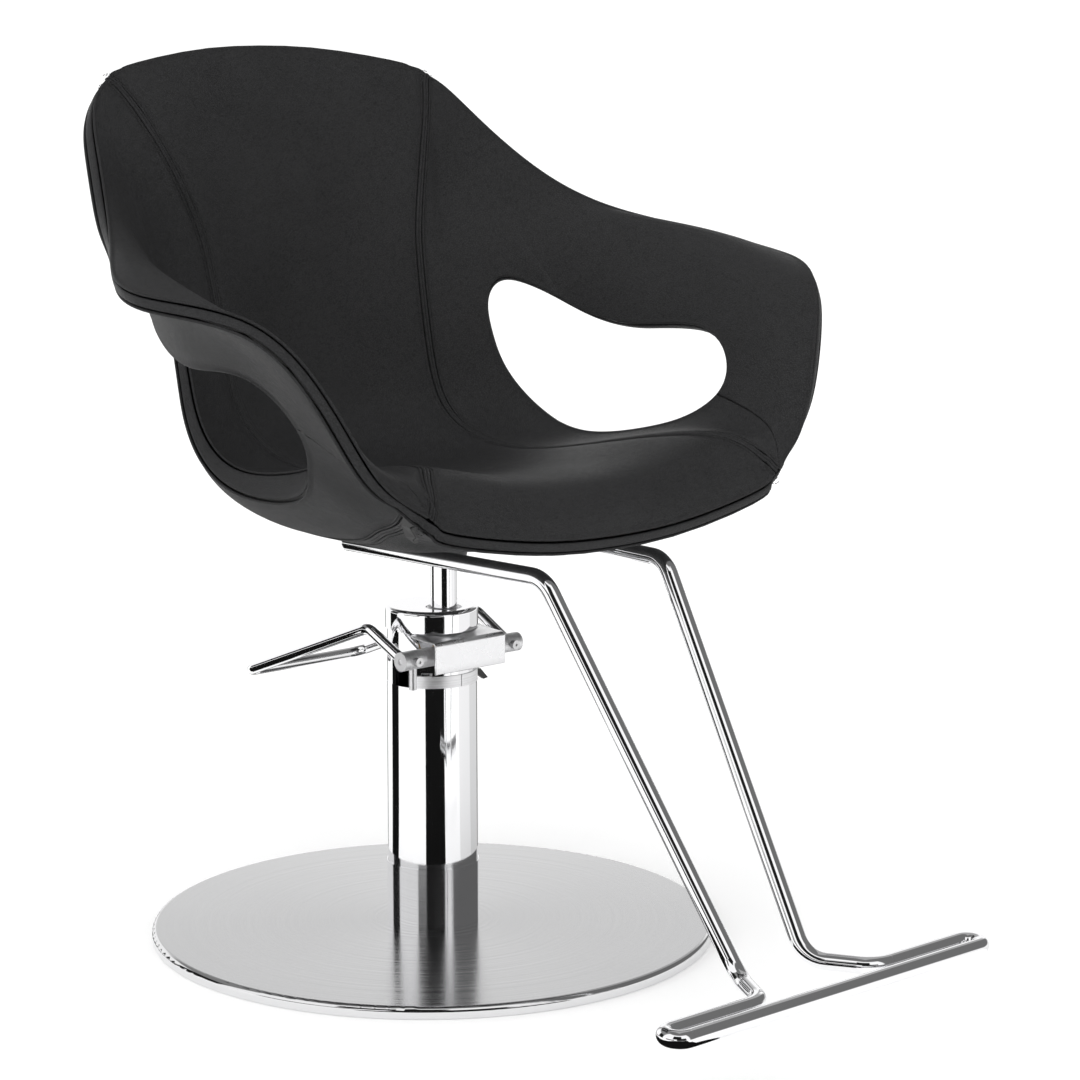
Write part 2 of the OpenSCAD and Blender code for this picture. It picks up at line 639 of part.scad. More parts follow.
// raised band along the rim
RIM = concat(
    across(0),
    [for (k = ks) [k, cols]],
    [for (q = across(rows)) [rows, -q[1]]],
    [for (i = [panel_steps:-1:0]) [ks[i], -cols]]);
rim_n = len(RIM);
RIM_AT = [for (q = RIM) xyz(skin(q[0], q[1]))];
RIM_UP = [for (q = RIM) inward(q[0], q[1])];
RIM_OUT = [for (i = [0:rim_n - 1])
    unit(cross(RIM_AT[(i + 1) % rim_n] - RIM_AT[(i + rim_n - 1) % rim_n], RIM_UP[i]))];
function rim_loop(depth, out) = [for (i = [0:rim_n - 1])
    RIM_AT[i] - depth * RIM_UP[i] + out * RIM_OUT[i]];
band_near = (thick - band_w) / 2;
band_out = 4;
band_gap = 1.2;
module rim_band() color(LEATHER)
    loop_solid([rim_loop(band_near, band_gap), rim_loop(thick - band_near, band_gap),
        rim_loop(thick - band_near - 1, band_out), rim_loop(band_near + 1, band_out)]);

// binding inside each arm opening
function trim_loop(off, d) = [for (q = WING_LOOP) layer(beside_edge(q, off), d)];
module trim_right() color(LEATHER)
    loop_solid([trim_loop(0, [2.5, 0]), trim_loop(trim_w - layer_gap, [1, 0]),
        trim_loop(trim_w - layer_gap, [-1, 1]), trim_loop(0, [-2.5, 1])]);
module trim_left() mirror([1, 0, 0]) trim_right();

// ---------- drawing ----------
base_cover();
ballast();
foot_pad();
sleeve();
base_plug();
base_bolt(0);  // base_bolt_1
base_bolt(1);  // base_bolt_2
base_bolt(2);  // base_bolt_3
tube();
barrel();
head_casting();
cap();
gland();
head_cover();
head_band();
stop_hook();
set_screw();
valve_block();
plunger();
spring();
shaft();
bush(boss_l);  // bush_left
bush(boss_r - 10);  // bush_right
cam_arm();
clamp(-1);  // clamp_left
clamp(1);  // clamp_right
pedal_stop();
pedal();
ram();
piston();
piston_seal();
socket();
seat_plate();
seat_bolt(-1, bolt_y1);  // seat_bolt_1
seat_bolt(1, bolt_y1);  // seat_bolt_2
seat_bolt(-1, bolt_y2);  // seat_bolt_3
seat_bolt(1, bolt_y2);  // seat_bolt_4
foot_left();
foot_right();
foot_bar();
pan_center();
pan_left();
pan_right();
pad_center();
pad_left();
pad_right();
back_center();
back_left();
back_right();
rim_band();
trim_left();
trim_right();
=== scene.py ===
import json
import math

import bmesh
import bpy
import numpy as np
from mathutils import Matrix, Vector, noise


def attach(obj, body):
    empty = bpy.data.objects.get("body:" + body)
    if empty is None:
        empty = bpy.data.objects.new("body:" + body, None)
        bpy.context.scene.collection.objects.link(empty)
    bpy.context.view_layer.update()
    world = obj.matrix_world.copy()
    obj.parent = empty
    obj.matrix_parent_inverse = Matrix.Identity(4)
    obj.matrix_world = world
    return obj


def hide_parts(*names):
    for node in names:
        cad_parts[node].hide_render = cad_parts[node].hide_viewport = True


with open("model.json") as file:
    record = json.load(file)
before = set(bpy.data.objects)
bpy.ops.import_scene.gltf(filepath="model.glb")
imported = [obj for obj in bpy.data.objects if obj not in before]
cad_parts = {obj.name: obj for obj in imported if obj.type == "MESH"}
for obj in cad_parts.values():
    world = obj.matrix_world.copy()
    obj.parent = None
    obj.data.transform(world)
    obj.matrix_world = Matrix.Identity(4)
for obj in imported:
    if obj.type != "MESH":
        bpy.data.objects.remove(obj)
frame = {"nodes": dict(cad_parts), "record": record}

MM = 0.001
MIRROR = np.array([-1, 1, 1])
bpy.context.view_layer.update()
scene = bpy.context.scene

# ---------------------------------------------------------------- camera
camera_data = bpy.data.cameras.new("camera")
camera_data.lens = 98.548
camera_data.sensor_width = 36
camera_data.clip_end = 200
camera = bpy.data.objects.new("camera", camera_data)
scene.collection.objects.link(camera)
camera.location = (-1.9568, -2.3582, 0.9525)
camera.rotation_euler = (math.radians(80.198), 0, math.radians(-41.826))
scene.camera = camera


# ---------------------------------------------------------------- materials
class Nodes:
    """Short calls for building a node tree."""

    def __init__(self, tree):
        self.tree = tree

    def feed(self, socket, value):
        """Links another node's output to a socket, or sets a plain value on it."""
        if isinstance(value, bpy.types.NodeSocket):
            self.tree.links.new(value, socket)
        else:
            socket.default_value = value

    def add(self, kind, inputs, **props):
        node = self.tree.nodes.new(kind)
        for key, value in props.items():
            setattr(node, key, value)
        for key, value in inputs.items():
            self.feed(node.inputs[key], value)
        return node

    def coords(self, kind="Object"):
        return self.add("ShaderNodeTexCoord", {}).outputs[kind]

    def noise(self, vector, scale, detail=2.0, rough=0.5):
        inputs = {"Vector": vector, "Scale": scale, "Detail": detail, "Roughness": rough}
        return self.add("ShaderNodeTexNoise", inputs).outputs["Fac"]

    def lines(self, along, scale, rough=0.5):
        inputs = {"W": along, "Scale": scale, "Detail": 3.0, "Roughness": rough}
        return self.add("ShaderNodeTexNoise", inputs, noise_dimensions="1D").outputs["Fac"]

    def cells(self, vector, scale):
        inputs = {"Vector": vector, "Scale": scale}
        node = self.add("ShaderNodeTexVoronoi", inputs, feature="DISTANCE_TO_EDGE")
        return node.outputs["Distance"]

    def spread(self, value, low, high, from_low=0.0, from_high=1.0):
        inputs = {"Value": value, "From Min": from_low, "From Max": from_high,
                  "To Min": low, "To Max": high}
        return self.add("ShaderNodeMapRange", inputs).outputs[0]

    def mix(self, fac, a, b):
        """Mix of two colours."""
        return self.add("ShaderNodeMix", {0: fac, 6: a, 7: b}, data_type="RGBA").outputs[2]

    def math(self, op, a, b=0.0):
        return self.add("ShaderNodeMath", {0: a, 1: b}, operation=op).outputs[0]

    def blend(self, a, b, share):
        """a and b weighted, share of a."""
        return self.math("ADD", self.math("MULTIPLY", a, share),
                         self.math("MULTIPLY", b, 1 - share))

    def bump(self, height, distance, strength, under=None):
        inputs = {"Height": height, "Distance": distance, "Strength": strength}
        if under is not None:
            inputs["Normal"] = under
        return self.add("ShaderNodeBump", inputs).outputs[0]


class Material(Nodes):
    def __init__(self, name):
        self.mat = bpy.data.materials.new(name)
        self.mat.use_nodes = True
        super().__init__(self.mat.node_tree)
        self.shader = self.tree.nodes["Principled BSDF"]

    def set(self, **inputs):
        for key, value in inputs.items():
            self.feed(self.shader.inputs[key.replace("_", " ")], value)


def grey(value, tint=0.0):
    return (value, value, value * (1 + tint), 1)


def leather(name, dark, light, rough):
    """Pebbled leather: large and small cells in its height and colour, over soft unevenness. The
    colour is darker in the creases between the cells: painted shade of the grain.
    """
    t = Material(name)
    at = t.coords()
    pebbles_and_crease_shade = t.math("ADD", t.spread(t.cells(at, 470), 0, 0.7, from_high=0.2),
                     t.spread(t.cells(at, 1150), 0, 0.3, from_high=0.2))
    height = t.math("ADD", pebbles_and_crease_shade, t.math("MULTIPLY", t.noise(at, 240), 0.6))
    soft = t.noise(at, 9, detail=3)
    tone = t.spread(t.blend(soft, t.noise(at, 160), 0.5), 0, 1, 0.35, 0.65)
    grain = t.bump(height, distance=0.0005, strength=0.7)
    # Colour: a quarter random tone, the rest the pebble cells, darker in their creases as painted
    # shade.
    t.set(Base_Color=t.mix(t.blend(tone, pebbles_and_crease_shade, 0.25), dark, light),
          Roughness=t.spread(tone, rough - 0.05, rough + 0.07),
          Normal=t.bump(soft, distance=0.0012, strength=0.35, under=grain),
          Metallic=0.0, Specular_IOR_Level=0.13)
    return t.mat


def thread(name):
    t = Material(name)
    inputs = {"Vector": t.coords(), "Scale": 1400.0, "Distortion": 2.0}
    twist = t.add("ShaderNodeTexWave", inputs).outputs["Fac"]
    t.set(Base_Color=t.mix(twist, grey(0.012), grey(0.04)), Roughness=0.7,
          Normal=t.bump(twist, distance=0.0001, strength=0.6), Specular_IOR_Level=0.25)
    return t.mat


def polished(name, tone=0.93, rough=0.045):
    t = Material(name)
    at = t.coords()
    haze = t.noise(at, 14, detail=4, rough=0.6)
    t.set(Base_Color=t.mix(haze, grey(tone - 0.03, 0.012), grey(tone, 0.012)), Metallic=1.0,
          Roughness=t.spread(haze, rough * 0.6, rough * 1.5, 0.3, 0.7),
          Normal=t.bump(t.noise(at, 420), distance=0.00002, strength=0.1))
    return t.mat


def turned(name, tone, rough, axis, fine, aniso=0.0, rim=None):
    """Metal with fine rings about the upright axis, or fine lines along X or up a column.
    Past the radius rim it is polished."""
    t = Material(name)
    split = t.add("ShaderNodeSeparateXYZ", {0: t.coords()}).outputs
    flat = t.add("ShaderNodeCombineXYZ", {"X": split["X"], "Y": split["Y"]}).outputs[0]
    radius = t.add("ShaderNodeVectorMath", {0: flat}, operation="LENGTH").outputs["Value"]
    line = radius if axis == "rings" else split[axis]
    rings = t.lines(line, fine, rough=0.65)
    shade = t.spread(t.blend(rings, t.lines(line, fine / 5), 0.5), 0, 1, 0.35, 0.65)
    cloud = t.math("MULTIPLY", t.noise(t.coords(), 7, detail=3), 0.25)
    dull = t.spread(t.math("ADD", shade, cloud), rough * 0.75, rough * 1.25, 0.3, 0.9)
    colour = t.mix(shade, grey(tone * 0.88, 0.01), grey(min(1, tone * 1.12), 0.01))
    if rim:
        edge = t.spread(radius, 0, 1, rim - 0.001, rim)
        inside = t.math("SUBTRACT", 1.0, edge)
        dull = t.math("ADD", t.math("MULTIPLY", dull, inside), t.math("MULTIPLY", edge, 0.07))
        rings = t.math("MULTIPLY", rings, inside)
        colour = t.mix(edge, colour, grey(0.78, 0.01))
    t.set(Base_Color=colour, Metallic=1.0, Roughness=dull, Anisotropic=aniso,
          Normal=t.bump(rings, distance=0.00004, strength=0.5))
    if axis == "rings":
        t.set(Tangent=t.add("ShaderNodeTangent", {}, direction_type="RADIAL", axis="Z").outputs[0])
    return t.mat


def plain(name, colour, rough, metal, grain, depth, strength):
    """Even material with a fine grain, a little darker and glossier in places."""
    t = Material(name)
    at = t.coords()
    broad = t.noise(at, 12, detail=3)
    darker = tuple(c * 0.75 for c in colour[:3]) + (1,)
    t.set(Base_Color=t.mix(broad, darker, colour), Metallic=metal,
          Roughness=t.spread(broad, rough * 0.85, min(1, rough * 1.15)),
          Normal=t.bump(t.noise(at, grain, detail=3), depth, strength))
    return t.mat


LEATHER_IN = leather("leather", grey(0.010, 0.03), grey(0.036, 0.03), rough=0.47)
LEATHER_BAND = leather("leather_band", grey(0.011, 0.03), grey(0.038, 0.03), rough=0.42)
THREAD = thread("thread")
CHROME = polished("chrome")
SATIN = polished("satin_chrome", tone=0.95, rough=0.27)
PLATE = turned("brushed_plate", 0.57, 0.16, "rings", fine=1100, aniso=0.6, rim=0.2965)
STEEL_X = turned("turned_steel_x", 0.95, 0.5, "X", fine=2200)
STEEL_Z = turned("turned_steel_z", 0.92, 0.45, "Z", fine=2600)
# Name, colour, roughness, metal, and the grain's scale, depth and strength.
STEEL = plain("bare_steel", grey(0.80, 0.01), 0.34, 1.0, 500, 0.00004, 0.3)
DARK = plain("dark_metal", grey(0.020), 0.42, 0.0, 380, 0.00012, 0.35)
BRONZE = plain("bronze", (0.50, 0.33, 0.14, 1), 0.34, 1.0, 400, 0.00005, 0.3)
RUBBER = plain("rubber", grey(0.018), 0.8, 0.0, 300, 0.0002, 0.5)
PLASTIC = plain("shell_plastic", grey(0.05), 0.55, 0.0, 260, 0.00015, 0.4)

BY_SLOT = {"brushed_plate": PLATE, "polished_chrome": CHROME, "bare_steel": STEEL,
           "dark_metal": DARK, "bronze": BRONZE, "black_rubber": RUBBER,
           "black_leather": LEATHER_IN, "shell_plastic": PLASTIC}
BY_NODE = {"shaft": STEEL_X, "head_band": STEEL_Z, "gland": STEEL_Z, "sleeve": CHROME}


def paint(obj, mat):
    if not obj.material_slots:
        obj.data.materials.append(mat)
    for s in obj.material_slots:
        s.link = "OBJECT"
        s.material = mat


for part in frame["record"]["subparts"]:
    paint(frame["nodes"][part["node"]], BY_NODE.get(part["node"], BY_SLOT[part["material_slot"]]))

# ---------------------------------------------------------------- seat skin
# Rows run from the front edge over the seat and up the back. Columns cross from the centre to
# the rim: centre, seam line, low wall, mid wall, high wall, rim. Millimetres, as in the CAD.
NET = [
    [(0, -285, 467), (200, -281, 490), (220, -280, 499),
     (230, -280, 505), (237, -279, 510), (242, -278, 513)],
    [(0, -275, 491), (204, -265, 519), (224, -267, 526),
     (236, -269, 527), (246, -272, 525), (256, -273, 523)],
    [(0, -250, 512), (200, -239, 538), (224, -241, 540),
     (246, -247, 543), (265, -255, 548), (284, -265, 551)],
    [(0, -205, 518), (180, -200, 542), (222, -194, 541),
     (260, -203, 556), (291, -222, 586), (317, -245, 615)],
    [(0, -125, 510), (158, -118, 529), (226, -114, 534),
     (270, -134, 580), (316, -164, 652), (368, -197, 692)],
    [(0, -10, 497), (136, -10, 511), (234, -18, 523),
     (284, -48, 614), (350, -76, 708), (419, -92, 713)],
    [(0, 95, 502), (132, 80, 517), (228, 58, 530),
     (276, 28, 630), (336, 8, 728), (394, -7, 732)],
    [(0, 165, 540), (134, 140, 550), (212, 120, 576),
     (256, 96, 658), (300, 82, 740), (342, 73, 753)],
    [(0, 198, 620), (139, 170, 622), (190, 160, 656),
     (230, 149, 704), (267, 142, 753), (302, 138, 783)],
    [(0, 222, 740), (147, 195, 742), (180, 200, 760),
     (212, 201, 780), (242, 198, 802), (272, 194, 826)],
    [(0, 245, 836), (168, 220, 826), (190, 224, 834),
     (211, 227, 843), (232, 230, 853), (252, 232, 863)],
    [(0, 269, 899), (170, 247, 883), (190, 243, 879),
     (205, 247, 884), (220, 250, 888), (233, 252, 889)],
    [(0, 287, 934), (175, 270, 917), (193, 267, 912),
     (204, 265, 909), (210, 263, 906), (215, 261, 902)]]
# Thickness of the padding row by row, at the centre, the seam line and the low wall.
THICK_CENTRE = [18, 42, 62, 72, 66, 55, 57, 44, 32, 26, 22, 19, 18]
THICK_SEAM = [18, 48, 70, 80, 80, 69, 66, 44, 30, 24, 20, 18, 18]
THICK_WALL = [18, 34, 48, 50, 40, 28, 21, 18, 18, 18, 18, 18, 18]
EDGE_THICK = 18
# A column is added between the centre and the seam, which makes the seam column 2, the rim 6.
MID_PULL = 0.22
ROWS, COLS = 12, 6
SEAM_COL = 2.0
# How far the padding's direction is tipped up at the front edge and under the seat.
FRONT_LIFT, UNDER_LIFT = 1.2, 2.0
UNDER_ROWS, UNDER_COLS = 3.2, 4
# Stations (along, across) of the arm opening's edge, and of a point in its middle.
OPENING = [(7.76, 3.28), (7.84, 3.58), (7.65, 3.88), (7.10, 4.02), (6.30, 4.02), (5.50, 4.07),
           (4.85, 4.26), (4.38, 4.42), (3.96, 4.36), (3.77, 4.06), (3.83, 3.62), (4.10, 3.19),
           (4.65, 2.97), (5.40, 2.97), (6.20, 3.01), (7.00, 3.02), (7.47, 3.12)]
HUB = np.array([5.8, 3.65])
FIT_PASSES = 3


def run_on(p):
    """Adds a row beyond each end of a net, straight on."""
    return np.concatenate([[2 * p[0] - p[1]], p, [2 * p[-1] - p[-2]]])


def fold_on(p):
    """Adds a row beyond each end of a net: mirrored at the middle, straight on at the rim."""
    mirrored = p[1] * np.array([-1, 1, 1, 1])[:p.shape[-1]]
    return np.concatenate([[mirrored], p, [2 * p[-1] - p[-2]]])


def fit(points, extend):
    """Net whose cubic B-spline passes through the points along the first axis."""
    d = points
    for _ in range(FIT_PASSES):
        e = extend(d)
        d = d + points - (e[:-2] + 4 * d + e[2:]) / 6
    return extend(d)


def fit_both(grid):
    return np.swapaxes(fit(np.swapaxes(fit(grid, run_on), 0, 1), fold_on), 0, 1)


def make_net():
    grid = []
    for row, at_centre, at_seam, at_wall in zip(NET, THICK_CENTRE, THICK_SEAM, THICK_WALL):
        thick = (at_centre, at_seam, at_wall, EDGE_THICK, EDGE_THICK, EDGE_THICK)
        r = [np.array(p + (t,), float) for p, t in zip(row, thick)]
        centre, seam = r[:2]
        mid = centre + MID_PULL * (seam - centre)
        mid[0] = seam[0] / 2
        grid.append([centre, mid] + r[1:])
    return fit_both(np.array(grid))


FITTED = make_net()


def weights(f):
    """Cubic B-spline weights at a fraction of a span."""
    return np.array([(1 - f) ** 3, 3 * f ** 3 - 6 * f ** 2 + 4,
                     -3 * f ** 3 + 3 * f ** 2 + 3 * f + 1, f ** 3]) / 6


def net_at(net, k, a):
    """Point of a bicubic net whose rows and columns are a unit apart."""
    k, a = np.broadcast_arrays(np.asarray(k, float), np.asarray(a, float))
    b = np.abs(a)
    i = np.clip(np.floor(k).astype(int), 0, net.shape[0] - 4)
    j = np.clip(np.floor(b).astype(int), 0, net.shape[1] - 4)
    u, v = weights(k - i), weights(b - j)
    out = sum((u[r] * v[c])[..., None] * net[i + r, j + c] for r in range(4) for c in range(4))
    out[..., 0] *= np.where(a < 0, -1, 1)
    return out


def skin(k, a):
    """Points and thickness of the sitter's face, in mm; k along the seat, a across it."""
    return net_at(FITTED, k, a)


def unit(v):
    return v / np.maximum(np.linalg.norm(v, axis=-1, keepdims=True), 1e-9)


def slopes(surface, k, a, step):
    """How a surface moves for each station along and across."""
    along = (surface(k + step, a) - surface(k - step, a)) / (2 * step)
    across = (surface(k, a + step) - surface(k, a - step)) / (2 * step)
    return along, across


def keep_in(k, a, row_gap, col_gap):
    """Stations moved in from the borders, where the slopes aren't steady."""
    return np.clip(k, row_gap, ROWS - row_gap), np.clip(a, col_gap - COLS, COLS - col_gap)


def inward(k, a):
    """Unit direction of the padding's thickness, towards the sitter."""
    k, a = keep_in(k, a, 0.35, 0.2)
    along, across = slopes(lambda k, a: skin(k, a)[..., :3], k, a, 0.01)
    toward = unit(np.cross(across, along))
    under = np.clip(1 - k / UNDER_ROWS, 0, 1) * np.clip(1 - (a / UNDER_COLS) ** 2, 0, 1)
    toward[..., 2] += FRONT_LIFT * np.clip(1 - k, 0, 1) + UNDER_LIFT * under
    return unit(toward)


OUTER_STEP = 0.5
RELAX, RELAX_ROWS, RELAX_PASSES = 0.8, 3.5, 3


def make_outer():
    """Net of the outer face, relaxed under the front corners where the padding is thickest."""
    k, a = np.meshgrid(np.arange(0, ROWS + 0.1, OUTER_STEP),
                       np.arange(0, COLS + 0.1, OUTER_STEP), indexing="ij")
    p = skin(k, a)
    net = p[..., :3] - p[..., 3:] * inward(k, a)
    ease_by = RELAX * np.clip(RELAX_ROWS - k, 0, 1) * np.clip(2 * a - 2, 0, 1)
    for _ in range(RELAX_PASSES):
        middle = (net[2:, 1:-1] + net[:-2, 1:-1] + net[1:-1, 2:] + net[1:-1, :-2]) / 4
        net[1:-1, 1:-1] += ease_by[1:-1, 1:-1, None] * (middle - net[1:-1, 1:-1])
    return fit_both(net)


OUTER = make_outer()


def face(k, a, side):
    """The sitter's face for side 1, the outer face for side -1."""
    if side > 0:
        return skin(k, a)[..., :3]
    return net_at(OUTER, np.asarray(k) / OUTER_STEP, np.asarray(a) / OUTER_STEP)


def face_up(k, a, side):
    """Unit normal of that face, away from the padding."""
    k, a = keep_in(k, a, 0.4, 0.25)
    along, across = slopes(lambda k, a: face(k, a, side), k, a, 0.03)
    return unit(np.cross(across, along)) * side


# ---------------------------------------------------------------- seams and openings
LONG = 120
KS = np.linspace(0, ROWS, LONG + 1)
SEAM_KS = np.linspace(0, ROWS, 481)
HALVINGS, NEWTON_STEPS = 26, 12
TOP_FROM, TOP_FLARE = 8.8, 0.022


def station_at(width, k, side):
    """Station across at which a face is a given width from the middle, row by row."""
    low, high = np.full(len(k), 0.5), np.full(len(k), float(COLS))
    for _ in range(HALVINGS):
        mid = (low + high) / 2
        wide = face(k, mid, side)[:, 0] > width
        low, high = np.where(wide, low, mid), np.where(wide, mid, high)
    return (low + high) / 2


def seam_path(side, reach, bow, hump, start, end):
    """Stations across of the seam at each of SEAM_KS. It follows column 2, and above row
    TOP_FROM it runs straight on with a growing flare. In front it stands bow mm further out,
    fading away at row reach, and hump mm more at row 1."""
    k = SEAM_KS
    off = (bow * (1 - np.clip(k / reach, 0, 1) ** start) ** end
           + hump * np.sin(np.pi * np.clip(k / 2, 0, 1)))
    on = face(k, np.full(len(k), SEAM_COL), side)
    last, back = np.searchsorted(k, TOP_FROM), np.searchsorted(k, TOP_FROM - 0.5)
    slope = (on[last, 0] - on[back, 0]) / (on[last, 2] - on[back, 2])
    climb = np.clip(on[:, 2] - on[last, 2], 0, None)
    flared = on[last, 0] + slope * climb + TOP_FLARE * climb ** 1.5
    width = np.where(k > TOP_FROM, flared, on[:, 0])
    return station_at(width + off, k, side)


PATH = {1: seam_path(1, reach=2.8, bow=33, hump=0, start=1, end=1.7),
        -1: seam_path(-1, reach=5.4, bow=39, hump=3, start=3, end=1.5)}


def seam_frame(ks, side):
    """Points of the seam, and at each its face's normal, its run and its outward direction."""
    a = np.interp(ks, SEAM_KS, PATH[side])
    p, up = face(ks, a, side), face_up(ks, a, side)
    along = unit(np.gradient(p, axis=0))
    across = unit(np.cross(along, up))
    across *= np.sign(across[len(ks) // 2, 0])
    return p, up, along, across


def beside_seam(side, d):
    """Station across at each of KS, a distance square to the seam; d grows to the rim."""
    line, _, _, across = seam_frame(SEAM_KS, side)
    target = line + across * d
    k, a = SEAM_KS.copy(), PATH[side].copy()
    for _ in range(NEWTON_STEPS):
        dk, da = slopes(lambda k, a: face(k, a, side), k, a, 0.01)
        miss = target - face(k, a, side)
        kk, ka, aa = (dk * dk).sum(-1), (dk * da).sum(-1), (da * da).sum(-1)
        bk, ba = (dk * miss).sum(-1), (da * miss).sum(-1)
        det = kk * aa - ka * ka
        k = k + np.clip((aa * bk - ka * ba) / det, -0.2, 0.2)
        a = np.clip(a + np.clip((kk * ba - ka * bk) / det, -0.4, 0.4), 0, COLS)
    order = np.argsort(k)
    return np.interp(KS, k[order], a[order])


def fit_ring(points):
    """Closed net whose cubic B-spline passes through the points."""
    d = points
    for _ in range(FIT_PASSES):
        d = d + points - (np.roll(d, 1, 0) + 4 * d + np.roll(d, -1, 0)) / 6
    return d


RING = fit_ring(np.array(OPENING))
EDGE = np.array([sum(w * RING[(i + r - 1) % len(RING)] for r, w in enumerate(weights(f)))
                 for i in range(len(RING)) for f in np.arange(0, 1, 0.1)])


def beside_edge(q, off):
    """Station a distance off the opening's edge, on the line from the hub to each station q."""
    out = []
    p = EDGE - HUB
    r = np.roll(p, -1, 0)
    step = 0.01
    for point in q:
        d = point - HUB
        s, t = d[0] * p[:, 1] - d[1] * p[:, 0], d[0] * r[:, 1] - d[1] * r[:, 0]
        hit = np.argmax((s * t <= 0) & ((p + r) @ d > 0))
        seg = r[hit] - p[hit]
        f = (p[hit][0] * seg[1] - p[hit][1] * seg[0]) / (d[0] * seg[1] - d[1] * seg[0])
        g, h = HUB + (f + step) * d, HUB + (f - step) * d
        speed = np.linalg.norm(skin(*g)[:3] - skin(*h)[:3]) / (2 * step)
        out.append(HUB + (f + off / speed) * d)
    return np.array(out)


# ---------------------------------------------------------------- meshes
def make_object(name, verts, faces, mat):
    mesh = bpy.data.meshes.new(name)
    mesh.from_pydata([tuple(v) for v in np.asarray(verts) * MM], [], faces)
    bm = bmesh.new()
    bm.from_mesh(mesh)
    bmesh.ops.recalc_face_normals(bm, faces=bm.faces)
    bm.to_mesh(mesh)
    bm.free()
    mesh.materials.append(mat)
    for p in mesh.polygons:
        p.use_smooth = True
    obj = bpy.data.objects.new(name, mesh)
    scene.collection.objects.link(obj)
    return obj


def ease(count, edge):
    """Fractions from 0 to 1, closer together at both ends."""
    t = np.linspace(0, 1, count)
    return t + edge * np.sin(2 * np.pi * t) / (-2 * np.pi)


def pick(grid, ring):
    return np.array([grid[i, j] for i, j in ring])


def grid_border(m, n):
    """Places round the border of an m by n grid, and the places just inside them."""
    ring = ([(0, j) for j in range(n)] + [(i, n - 1) for i in range(1, m)]
            + [(m - 1, j) for j in range(n - 2, -1, -1)] + [(i, 0) for i in range(m - 2, 0, -1)])
    return ring, [(min(max(i, 1), m - 2), min(max(j, 1), n - 2)) for i, j in ring]


def two_sheets(m, n, wrap):
    """Faces of an m by n grid of points, and of a second one that comes after it."""
    half, faces = m * n, []
    for i in range(m - 1):
        for j in range(n if wrap else n - 1):
            p, q = i * n + j, i * n + (j + 1) % n
            faces.append((p, q, q + n, p + n))
            faces.append((half + p + n, half + q + n, half + q, half + p))
    return faces


def roll_edge(verts, faces, m, n, ring, loops):
    """Joins the two sheets along a ring of places, through loops of new points."""
    chain = [[i * n + j for i, j in ring]]
    for points in loops:
        chain.append(list(range(len(verts), len(verts) + len(ring))))
        verts += list(points)
    chain.append([m * n + i * n + j for i, j in ring])
    for one, two in zip(chain, chain[1:]):
        for s in range(len(ring)):
            t = (s + 1) % len(ring)
            faces.append((one[s], one[t], two[t], two[s]))


def loop_frame(points, inside, up):
    """Outward direction at each point of a closed edge, square to the edge and to up."""
    along = unit(np.roll(points, -1, 0) - np.roll(points, 1, 0))
    out = unit(np.cross(along, up))
    return out * np.sign(np.sum(out * (points - inside), -1))[:, None]


def puff(points, edge, up):
    """Lowers a panel a little near its edges and gives it a faint unevenness."""
    flat = points.reshape(-1, 3)
    near = np.full(len(flat), 1e9)
    for start in range(0, len(edge), 64):
        part = edge[start:start + 64]
        gap = np.linalg.norm(flat[:, None] - part[None], axis=-1).min(1)
        near = np.minimum(near, gap)
    sink = 1.1 * np.exp(-(near / 7.0) ** 2) + 0.9 * np.exp(-near / 22.0)
    wave = np.array([noise.noise(Vector(p) * 0.011) for p in flat])
    lift = 0.9 * wave * np.clip(near / 40.0, 0, 1) - sink + 0.6
    lift *= np.clip(near / 3.0, 0, 1)
    return points + up * lift.reshape(points.shape[:-1])[..., None]


PANEL_THICK = 3.0
# Across a panel's rolled edge: distance out past the last station, depth below the face.
ROLL = [(0.8, 0.2), (1.5, 0.7), (1.85, 1.4), (1.8, 2.1), (1.2, 2.7), (0.2, 3.0)]


def panel(name, grid, side, wrap, mirror=False):
    """Padded cover panel over a grid of stations, closed, with its edges rolled. A grid that
    wraps is a ring with two edges."""
    m, n = grid.shape[:2]
    k, a = grid[..., 0], grid[..., 1]
    top, up = face(k, a, side), face_up(k, a, side)
    edges = [grid_border(m, n)]
    if wrap:
        edges = [([(i, j) for j in range(n)], [(i + step, j) for j in range(n)])
                 for i, step in ((0, 1), (m - 1, -1))]
    border = np.concatenate([pick(top, ring) for ring, _ in edges])
    verts = list(puff(top, border, up).reshape(-1, 3))
    verts += list((top - up * PANEL_THICK).reshape(-1, 3))
    faces = two_sheets(m, n, wrap)
    for ring, inner in edges:
        points, ups = pick(top, ring), pick(up, ring)
        out = loop_frame(points, pick(top, inner), ups)
        roll_edge(verts, faces, m, n, ring, [points + out * o - ups * d for o, d in ROLL])
    return make_object(name, np.array(verts) * (MIRROR if mirror else 1), faces, LEATHER_IN)


def sweep(name, rings, mat, closed=True, mirror=False):
    """Tube through matching rings of points: rings[s] is the profile at step s."""
    rings = np.asarray(rings)
    m, n = rings.shape[:2]
    faces = []
    for i in range(m if closed else m - 1):
        for j in range(n):
            p, q = i * n + j, i * n + (j + 1) % n
            r = ((i + 1) % m) * n
            faces.append((p, q, r + (j + 1) % n, r + j))
    if not closed:
        faces.append(tuple(range(n)))
        faces.append(tuple((m - 1) * n + j for j in range(n - 1, -1, -1)))
    return make_object(name, rings.reshape(-1, 3) * (MIRROR if mirror else 1), faces, mat)


# ---------------------------------------------------------------- seat cover
STRIP_HALF = 3.4
SEAM_CLEAR = STRIP_HALF + 2.5
HOLE_CLEAR = 5.2


def centre_grid(side):
    cross = 2 * ease(41, 0.55) - 1
    return np.array([[(k, w * f) for f in cross]
                     for k, w in zip(KS, beside_seam(side, -SEAM_CLEAR))])


